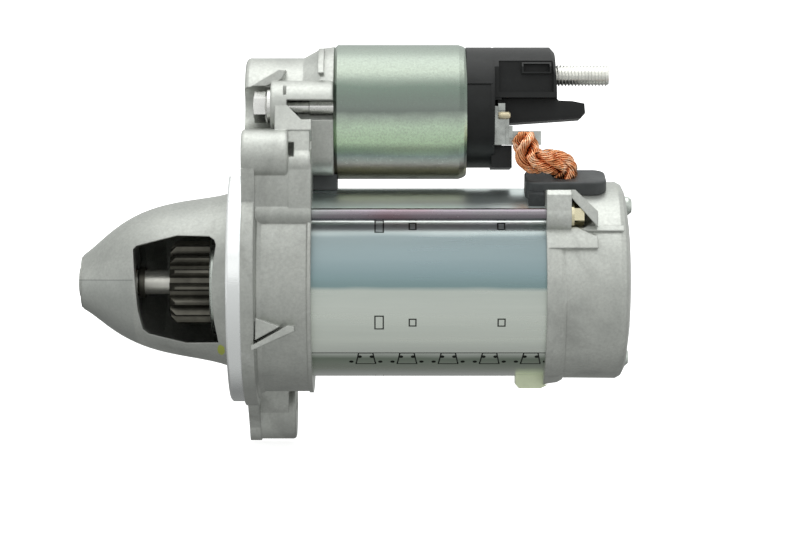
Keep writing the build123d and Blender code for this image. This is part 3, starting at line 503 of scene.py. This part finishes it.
def twisted_lead():
    """Copper lead: bundles of fine wires twisted together, gathered at the weld."""
    route = [(103.3, -19.7, 55.0), (103.2, -19.7, 49.6), (103.6, -19.6, 44.8), (110.5, -17.2, 44.4),
             (117.8, -14.6, 44.2), (118.4, -12.8, 39.0), (117.6, -10.9, 32.6)]
    count, sides, wire_r = 150, 5, 0.4
    bundles, wires, bundle_r = 4, 13, 2.75
    bundle_lay, wire_lay = 34.0, 15.0       # length of one turn of a bundle, and of a wire in it
    line = smooth_path(route, count)
    frames = frames_along(line)
    total = path_length(line)
    verts, faces = [], []
    for b in range(bundles):
        for w in range(wires):
            first = len(verts)
            for i, (p, (u, v)) in enumerate(zip(line, frames)):
                run = total * i / (count - 1)
                gather = min(1.0, 0.45 + run / 6.0)
                loose = 1.0 + 0.07 * math.sin(run * 0.55 + b * 2.1) + 0.05 * math.sin(run * 1.3 + w)
                sway = 0.25 * math.sin(run * 0.35 + b * 1.7)
                a = 2 * math.pi * (b / bundles + run / bundle_lay) + sway
                c = 2 * math.pi * (w / wires - run / wire_lay) + b
                big = bundle_r * gather * loose
                small = (1.75 if w % 2 else 1.5) * (0.75 + 0.25 * gather)
                centre = p + u * (big * math.cos(a) + small * math.cos(c)) + v * (
                    big * math.sin(a) + small * math.sin(c))
                for k in range(sides):
                    d = 2 * math.pi * k / sides
                    verts.append(tuple(centre + u * (wire_r * math.cos(d)) + v * (wire_r * math.sin(d))))
            faces += rings_to_faces(count, sides, first)
    piece("twisted_lead", verts, faces, strands, "braided_lead")


def closing_spring(node):
    """A copy of the spring's solid with its own mesh, riding the housing in the node's place."""
    cad = frame["nodes"][node]
    ob = add(node + "_coil", cad.data.copy())
    ob.matrix_world = cad.matrix_world.copy()
    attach(ob, "housing")
    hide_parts(node)
    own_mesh(ob)


threaded_stud()
twisted_lead()
closing_spring("return_spring")
for number in range(1, 5):
    closing_spring(f"brush_spring_{number}")


# ---- stage ------------------------------------------------------------------------------
def card(name, size, at, tilt, look):
    """A flat card that only the camera sees: it neither lights nor reflects."""
    mesh = bpy.data.meshes.new(name)
    w, h = size[0] / 2, size[1] / 2
    mesh.from_pydata([(-w, -h, 0), (w, -h, 0), (w, h, 0), (-w, h, 0)], [], [(0, 1, 2, 3)])
    mesh.materials.append(look.mat)
    ob = add(name, mesh)
    ob.location, ob.rotation_euler = at, (math.radians(tilt), 0, 0)
    ob.visible_diffuse = ob.visible_glossy = False


def sky():
    """Soft surround: bright overhead, dimmer below, darkest below and behind."""
    world = bpy.data.worlds.new("studio")
    bpy.context.scene.world = world
    world.use_nodes = True
    tree = world.node_tree

    def remap(value, low, high, to_low, to_high):
        n = tree.nodes.new("ShaderNodeMapRange")
        for socket, limit in zip(n.inputs[1:5], (low, high, to_low, to_high)):
            socket.default_value = limit
        tree.links.new(value, n.inputs[0])
        return n.outputs[0]

    split = tree.nodes.new("ShaderNodeSeparateXYZ")
    tree.links.new(tree.nodes.new("ShaderNodeTexCoord").outputs["Generated"], split.inputs[0])
    _, behind, height = split.outputs
    ramp = tree.nodes.new("ShaderNodeValToRGB")
    tree.links.new(remap(height, -1.0, 1.0, 0.0, 1.0), ramp.inputs[0])
    stops = [(0.0, 0.50), (0.25, 0.62), (0.45, 0.70), (0.62, 0.76), (0.78, 0.82), (0.9, 1.15),
             (1.0, 1.45)]
    tint = (0.985, 1.0, 0.985)
    while len(ramp.color_ramp.elements) < len(stops):
        ramp.color_ramp.elements.new(0.5)
    for e, (pos, v) in zip(ramp.color_ramp.elements, stops):
        e.position, e.color = pos, (*(v * c for c in tint), 1.0)
    keep = tree.nodes.new("ShaderNodeMath")
    keep.operation = "MAXIMUM"
    tree.links.new(remap(behind, 0.0, 0.6, 1.0, 0.4), keep.inputs[0])
    tree.links.new(remap(height, -0.35, 0.0, 0.0, 1.0), keep.inputs[1])
    background = tree.nodes["Background"]
    tree.links.new(ramp.outputs[0], background.inputs[0])
    tree.links.new(keep.outputs[0], background.inputs[1])


def softbox(name, power, size, at):
    """A rectangular light that faces the part."""
    data = bpy.data.lights.new(name, "AREA")
    data.energy, data.shape, data.size, data.size_y = power, "RECTANGLE", *size
    ob = add(name, data)
    ob.location = at
    ob.rotation_euler = (Vector(PART_MIDDLE) - Vector(at)).to_track_quat("-Z", "Y").to_euler()


floor_look = plain("pale studio floor", (0.5, 0.5, 0.5), 0.0, 0.7, 20, 0.0001, 0.01)
floor_look.set(Emission_Color=(1.0, 1.0, 1.0), Emission_Strength=0.8)
wall_look = Shader("white backdrop")
wall_look.set(Base_Color=(0.9, 0.9, 0.9), Roughness=0.9, Emission_Color=(1.0, 1.0, 1.0),
              Emission_Strength=1.0)
card("floor", (6, 6), (0.04, 0.6, cad_box[0][2] - FLOOR_GAP), 0, floor_look)
card("backdrop", (8, 5), (0.04, 2.2, 0.6), 90, wall_look)
sky()
softbox("top_box", 3.2, (1.2, 0.9), (0.04, -0.15, 1.0))
softbox("front_high", 0.65, (1.0, 0.5), (-0.25, -0.95, 0.75))
softbox("front_low", 0.45, (1.2, 0.35), (0.15, -1.0, 0.23))
softbox("left_box", 0.6, (0.5, 0.9), (-0.95, -0.25, 0.25))
softbox("right_box", 0.5, (0.5, 0.9), (1.05, -0.25, 0.25))

cam_data = bpy.data.cameras.new("camera")
cam_data.lens, cam_data.sensor_width = CAMERA_LENS, SENSOR_WIDTH
cam = add("camera", cam_data)
cam.location = CAMERA_AT
cam.rotation_euler = (math.radians(90), 0, 0)
bpy.context.scene.camera = cam
bpy.context.scene.view_settings.view_transform = "Standard"
